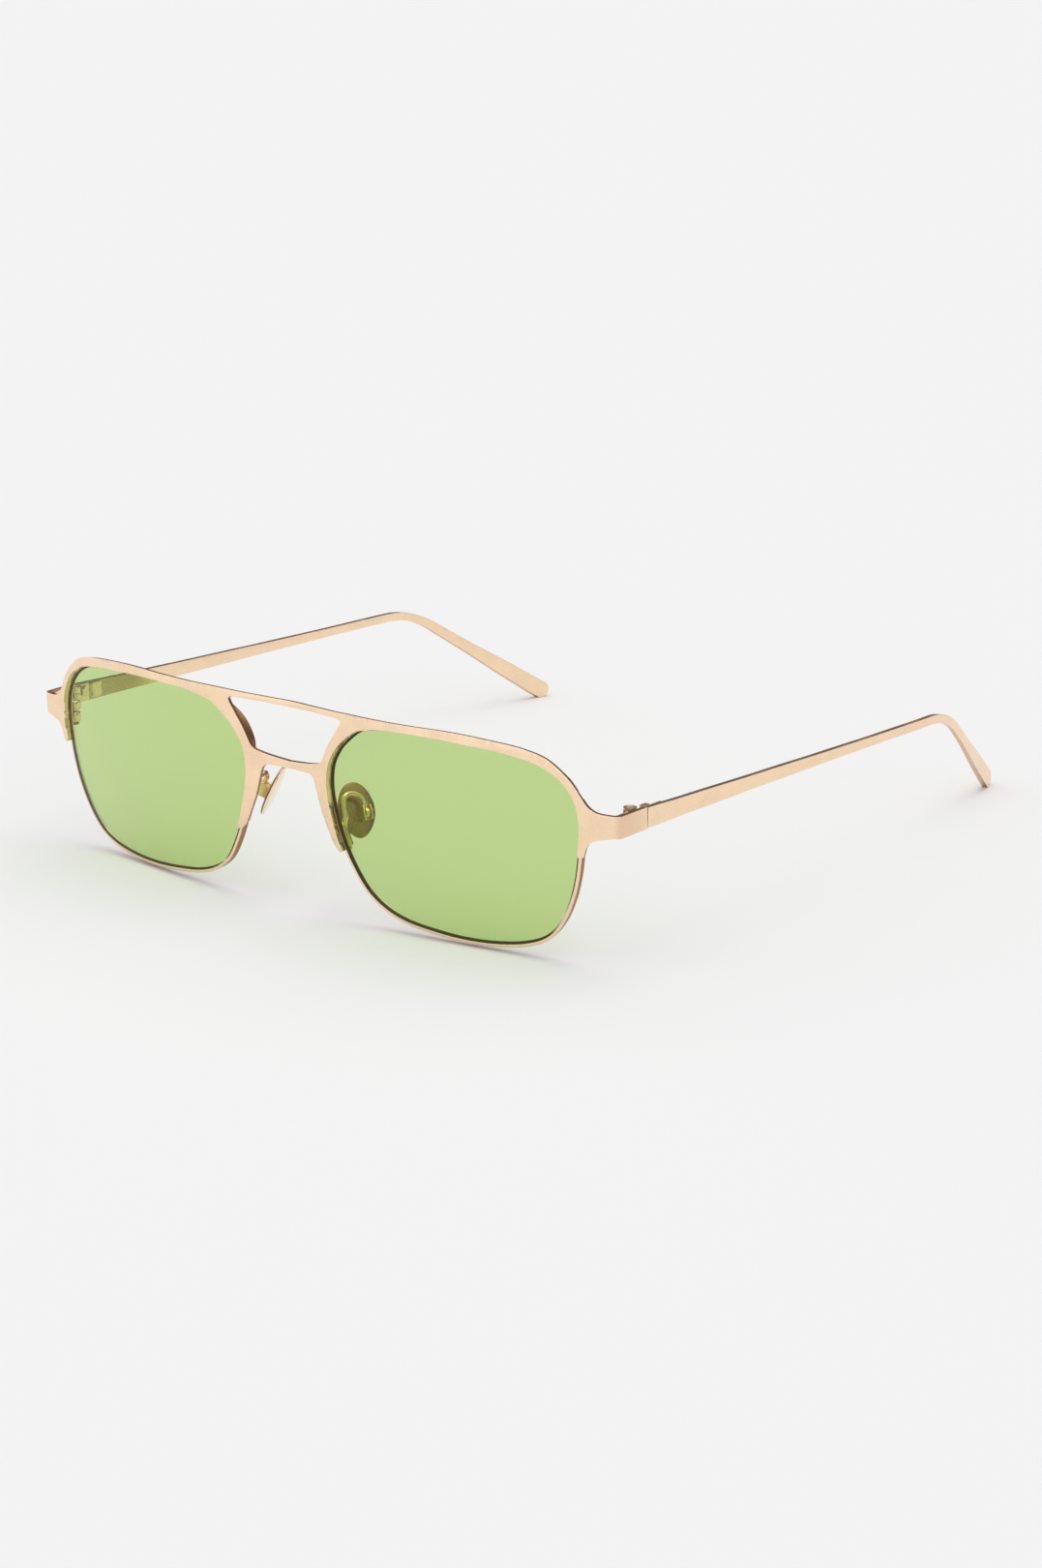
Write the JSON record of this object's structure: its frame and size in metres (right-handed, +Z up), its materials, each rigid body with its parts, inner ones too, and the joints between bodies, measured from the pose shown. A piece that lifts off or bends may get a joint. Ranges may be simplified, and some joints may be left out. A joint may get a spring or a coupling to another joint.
{
  "type": "sunglasses",
  "caption": "Double-bridge metal sunglasses: flat front sheet over eyewires, tinted lenses, rocking nose pads and folding temples with bent-down tips.",
  "frame": {"origin": "on the table the sunglasses stand on, midway across and midway along their depth", "axes": "+X towards the wearer's left, +Y back along the temples, +Z up; the wearer faces -Y"},
  "size_m": [0.138, 0.1478, 0.0402],
  "materials": {
    "satin_gold": "satin",
    "temple_gold": "satin",
    "polished_gold": "polished",
    "hinge_gold": "satin",
    "pad_gold": "polished",
    "screw_gold": "turned",
    "green_lens": "clear"
  },
  "bodies": {
    "front": {"front_sheet": "satin_gold", "rim_left": "polished_gold", "rim_right": "polished_gold", "lens_left": "green_lens", "lens_right": "green_lens", "rim_lock_upper_left": "polished_gold", "rim_lock_upper_right": "polished_gold", "rim_lock_lower_left": "polished_gold", "rim_lock_lower_right": "polished_gold", "rim_lock_screw_left": "screw_gold", "rim_lock_screw_right": "screw_gold", "pad_arm_left": "polished_gold", "pad_arm_right": "polished_gold", "hinge_front_left": "hinge_gold", "hinge_front_right": "hinge_gold", "hinge_screw_left": "screw_gold", "hinge_screw_right": "screw_gold"},
    "left_temple": {"temple_left": "temple_gold", "hinge_temple_left": "hinge_gold"},
    "right_temple": {"temple_right": "temple_gold", "hinge_temple_right": "hinge_gold"},
    "left_nose_pad": {"nose_pad_left": "pad_gold", "pad_box_left": "polished_gold", "pad_screw_left": "screw_gold"},
    "right_nose_pad": {"nose_pad_right": "pad_gold", "pad_box_right": "polished_gold", "pad_screw_right": "screw_gold"}
  },
  "joints": [
    {"name": "left_temple_fold", "type": "hinge", "parent": "front", "child": "left_temple", "pos_m": [0.06675, -0.05844, 0.02646], "axis": [0, 0, 1], "range_deg": [0, 88]},
    {"name": "right_temple_fold", "type": "hinge", "parent": "front", "child": "right_temple", "pos_m": [-0.06675, -0.05844, 0.02646], "axis": [0, 0, -1], "range_deg": [0, 82]},
    {"name": "left_pad_rock", "type": "hinge", "parent": "front", "child": "left_nose_pad", "pos_m": [0.0128, -0.06521, 0.01943], "axis": [0.4226, 0.9063, 0], "range_deg": [-8, 8]},
    {"name": "right_pad_rock", "type": "hinge", "parent": "front", "child": "right_nose_pad", "pos_m": [-0.0128, -0.06521, 0.01943], "axis": [0.4226, -0.9063, 0], "range_deg": [-8, 8]}
  ]
}
